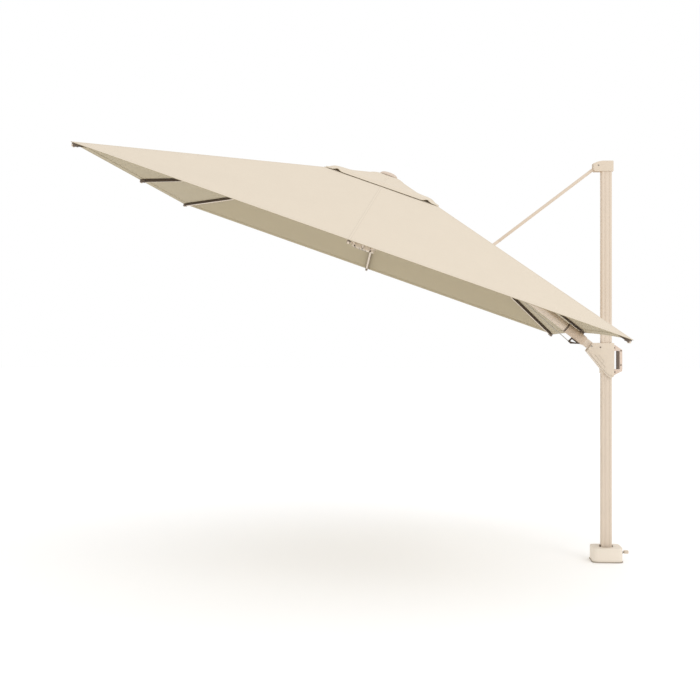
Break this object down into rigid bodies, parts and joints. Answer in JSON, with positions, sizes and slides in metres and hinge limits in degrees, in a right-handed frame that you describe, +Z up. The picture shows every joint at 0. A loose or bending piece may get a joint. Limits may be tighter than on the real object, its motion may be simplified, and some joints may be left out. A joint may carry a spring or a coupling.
{
  "type": "cantilever parasol",
  "caption": "Square cantilever parasol: a vented fabric canopy on folding ribs, hung from a tilting arm and strut on a swivelling side mast with a sliding handle.",
  "frame": {"origin": "centre of the socket's underside, on the mast's vertical axis", "axes": "+Z up along the mast; the canopy hangs towards -X; +Y to the back, left of the mast seen from the canopy"},
  "size_m": [3.0993, 3.0004, 2.507],
  "materials": {
    "sand_powder_coat": "satin",
    "sand_cast_iron": "satin",
    "pale_nylon": "satin",
    "dark_acetal": "matte",
    "zinc_plated_steel": "satin",
    "sand_canvas": "matte",
    "grey_braid": "matte"
  },
  "bodies": {
    "socket": {"base_plate": "dark_acetal", "base_socket": "sand_cast_iron", "swivel_bush": "dark_acetal", "pedal_pin": "zinc_plated_steel"},
    "pedal": {"pedal_lever": "dark_acetal", "pedal_pad": "sand_powder_coat"},
    "mast": {"mast_tube": "sand_powder_coat", "mast_spigot": "zinc_plated_steel", "top_cap": "sand_powder_coat", "strut_pin": "zinc_plated_steel"},
    "strut": {"strut_head": "zinc_plated_steel", "strut_rod": "sand_powder_coat", "strut_fork": "sand_powder_coat"},
    "arm_bearings": {"arm_knuckle": "sand_powder_coat", "strut_collar": "sand_powder_coat", "fork_pin_near": "zinc_plated_steel", "fork_pin_far": "zinc_plated_steel"},
    "arm": {"arm_tube": "sand_powder_coat", "arm_sleeve": "sand_powder_coat", "arm_ring": "dark_acetal", "cord_cleat": "sand_powder_coat", "cord_guide": "dark_acetal", "pull_cord": "grey_braid", "crown_hub": "sand_powder_coat", "crown_cap": "sand_powder_coat", "vent_canopy": "sand_canvas", "mast_side_rib": "sand_powder_coat", "canopy_gore_mast_side": "sand_canvas"},
    "handle": {"handle_front": "pale_nylon", "handle_back": "pale_nylon", "slide_liner": "dark_acetal", "knuckle_pin": "zinc_plated_steel", "grip_frame": "sand_powder_coat"},
    "trigger": {"trigger": "pale_nylon"},
    "runner": {"runner": "sand_powder_coat", "hoist_ferrule": "zinc_plated_steel", "hoist_cord": "grey_braid"},
    "rib_outer": {"rib_outer": "sand_powder_coat", "canopy_gore_outer": "sand_canvas"},
    "stretcher_outer": {"stretcher_outer": "sand_powder_coat"},
    "rib_near": {"rib_near": "sand_powder_coat", "canopy_gore_near": "sand_canvas"},
    "stretcher_near": {"stretcher_near": "sand_powder_coat"},
    "rib_far": {"rib_far": "sand_powder_coat", "canopy_gore_far": "sand_canvas"},
    "stretcher_far": {"stretcher_far": "sand_powder_coat"},
    "rib_outer_near": {"rib_outer_near": "sand_powder_coat", "canopy_gore_outer_near": "sand_canvas"},
    "stretcher_outer_near": {"stretcher_outer_near": "sand_powder_coat"},
    "rib_outer_far": {"rib_outer_far": "sand_powder_coat", "canopy_gore_outer_far": "sand_canvas"},
    "stretcher_outer_far": {"stretcher_outer_far": "sand_powder_coat"},
    "rib_mast_near": {"rib_mast_near": "sand_powder_coat", "canopy_gore_mast_near": "sand_canvas"},
    "stretcher_mast_near": {"stretcher_mast_near": "sand_powder_coat"},
    "rib_mast_far": {"rib_mast_far": "sand_powder_coat", "canopy_gore_mast_far": "sand_canvas"},
    "stretcher_mast_far": {"stretcher_mast_far": "sand_powder_coat"}
  },
  "joints": [
    {"name": "mast_swivel", "type": "hinge", "parent": "socket", "child": "mast", "pos_m": [0, 0, 0], "axis": [0, 0, 1], "continuous": true},
    {"name": "pedal_press", "type": "hinge", "parent": "socket", "child": "pedal", "pos_m": [0.085, 0, 0.05], "axis": [0, 1, 0], "range_deg": [0, 15], "stiffness_Nm_per_rad": 2, "springref_deg": -8.59},
    {"name": "canopy_tilt", "type": "hinge", "parent": "mast", "child": "strut", "pos_m": [-0.052, 0, 2.478], "axis": [0, 1, 0], "range_deg": [-21.36, 18.9]},
    {"name": "strut_foot_hinge", "type": "hinge", "parent": "strut", "child": "arm_bearings", "pos_m": [-0.81065, 0, 1.90287], "axis": [0, 1, 0], "range_deg": [-38.49, 43.51]},
    {"name": "handle_hinge", "type": "hinge", "parent": "arm_bearings", "child": "handle", "pos_m": [-0.096, 0, 1.346], "axis": [0, 1, 0], "range_deg": [-22.14, 19.59]},
    {"name": "side_tilt", "type": "hinge", "parent": "arm_bearings", "child": "arm", "pos_m": [-0.096, 0, 1.346], "axis": [-0.7888, 0, 0.6147], "range_deg": [-10, 10]},
    {"name": "trigger_pull", "type": "slide", "parent": "handle", "child": "trigger", "axis": [1, 0, 0], "range_m": [0, 0.006], "stiffness_N_per_m": 900, "springref_m": -0.004},
    {"name": "rib_hinge_outer", "type": "hinge", "parent": "arm", "child": "rib_outer", "pos_m": [-1.44283, 0, 2.42576], "axis": [0, -1, 0], "range_deg": [-0.05, 63.52], "deforming": ["canopy_gore_outer"]},
    {"name": "stretcher_hinge_outer", "type": "hinge", "parent": "rib_outer", "child": "stretcher_outer", "pos_m": [-2.09742, 0, 2.39519], "axis": [0, -1, 0], "range_deg": [-129.43, 0.05]},
    {"name": "rib_hinge_near", "type": "hinge", "parent": "arm", "child": "rib_near", "pos_m": [-1.37218, -0.075, 2.4006], "axis": [0.9421, 0, -0.3355], "range_deg": [-0.05, 63.52], "deforming": ["canopy_gore_near"]},
    {"name": "stretcher_hinge_near", "type": "hinge", "parent": "rib_near", "child": "stretcher_near", "pos_m": [-1.4555, -0.68141, 2.16661], "axis": [0.9421, 0, -0.3355], "range_deg": [-129.43, 0.05]},
    {"name": "rib_hinge_far", "type": "hinge", "parent": "arm", "child": "rib_far", "pos_m": [-1.37218, 0.075, 2.4006], "axis": [-0.9421, 0, 0.3355], "range_deg": [-0.05, 63.52], "deforming": ["canopy_gore_far"]},
    {"name": "stretcher_hinge_far", "type": "hinge", "parent": "rib_far", "child": "stretcher_far", "pos_m": [-1.4555, 0.68141, 2.16661], "axis": [-0.9421, 0, 0.3355], "range_deg": [-129.43, 0.05]},
    {"name": "canopy_fold", "type": "hinge", "parent": "arm", "child": "rib_outer_near", "pos_m": [-1.42214, -0.05303, 2.41839], "axis": [0.6661, -0.7071, -0.2372], "range_deg": [0, 69.39], "deforming": ["canopy_gore_outer_near"]},
    {"name": "stretcher_hinge_outer_near", "type": "hinge", "parent": "rib_outer_near", "child": "stretcher_outer_near", "pos_m": [-1.88487, -0.48072, 2.39384], "axis": [0.6661, -0.7071, -0.2372], "range_deg": [-130.1, 0.05]},
    {"name": "rib_hinge_outer_far", "type": "hinge", "parent": "arm", "child": "rib_outer_far", "pos_m": [-1.42214, 0.05303, 2.41839], "axis": [-0.6661, -0.7071, 0.2372], "range_deg": [-0.05, 69.44], "deforming": ["canopy_gore_outer_far"]},
    {"name": "stretcher_hinge_outer_far", "type": "hinge", "parent": "rib_outer_far", "child": "stretcher_outer_far", "pos_m": [-1.88487, 0.48072, 2.39384], "axis": [-0.6661, -0.7071, 0.2372], "range_deg": [-130.1, 0.05]},
    {"name": "rib_hinge_mast_near", "type": "hinge", "parent": "arm", "child": "rib_mast_near", "pos_m": [-1.32222, -0.05303, 2.38281], "axis": [0.6661, 0.7071, -0.2372], "range_deg": [-0.05, 69.44], "deforming": ["canopy_gore_mast_near"]},
    {"name": "stretcher_hinge_mast_near", "type": "hinge", "parent": "rib_mast_near", "child": "stretcher_mast_near", "pos_m": [-0.97914, -0.48072, 2.07132], "axis": [0.6661, 0.7071, -0.2372], "range_deg": [-130.1, 0.05]},
    {"name": "rib_hinge_mast_far", "type": "hinge", "parent": "arm", "child": "rib_mast_far", "pos_m": [-1.32222, 0.05303, 2.38281], "axis": [-0.6661, 0.7071, 0.2372], "range_deg": [-0.05, 69.44], "deforming": ["canopy_gore_mast_far"]},
    {"name": "stretcher_hinge_mast_far", "type": "hinge", "parent": "rib_mast_far", "child": "stretcher_mast_far", "pos_m": [-0.97914, 0.48072, 2.07132], "axis": [-0.6661, 0.7071, 0.2372], "range_deg": [-130.1, 0.05]},
    {"name": "runner_slide", "type": "slide", "parent": "arm", "child": "runner", "axis": [-0.3355, 0, -0.9421], "range_m": [-0.002, 0.8495], "deforming": ["hoist_cord", "vent_canopy", "canopy_gore_mast_side"]}
  ],
  "couplings": [
    {"joint": "strut_foot_hinge", "follows": "canopy_tilt", "ratio": -2.034},
    {"joint": "handle_hinge", "follows": "canopy_tilt", "ratio": 1.034},
    {"joint": "rib_hinge_outer", "follows": "canopy_fold", "ratio": 0.91479},
    {"joint": "stretcher_hinge_outer", "follows": "canopy_fold", "ratio": -1.8645},
    {"joint": "rib_hinge_near", "follows": "canopy_fold", "ratio": 0.91479},
    {"joint": "stretcher_hinge_near", "follows": "canopy_fold", "ratio": -1.8645},
    {"joint": "rib_hinge_far", "follows": "canopy_fold", "ratio": 0.91479},
    {"joint": "stretcher_hinge_far", "follows": "canopy_fold", "ratio": -1.8645},
    {"joint": "stretcher_hinge_outer_near", "follows": "canopy_fold", "ratio": -1.8742},
    {"joint": "rib_hinge_outer_far", "follows": "canopy_fold", "ratio": 1},
    {"joint": "stretcher_hinge_outer_far", "follows": "canopy_fold", "ratio": -1.8742},
    {"joint": "rib_hinge_mast_near", "follows": "canopy_fold", "ratio": 1},
    {"joint": "stretcher_hinge_mast_near", "follows": "canopy_fold", "ratio": -1.8742},
    {"joint": "rib_hinge_mast_far", "follows": "canopy_fold", "ratio": 1},
    {"joint": "stretcher_hinge_mast_far", "follows": "canopy_fold", "ratio": -1.8742},
    {"joint": "runner_slide", "follows": "canopy_fold", "m_per_rad": 0.69899}
  ]
}
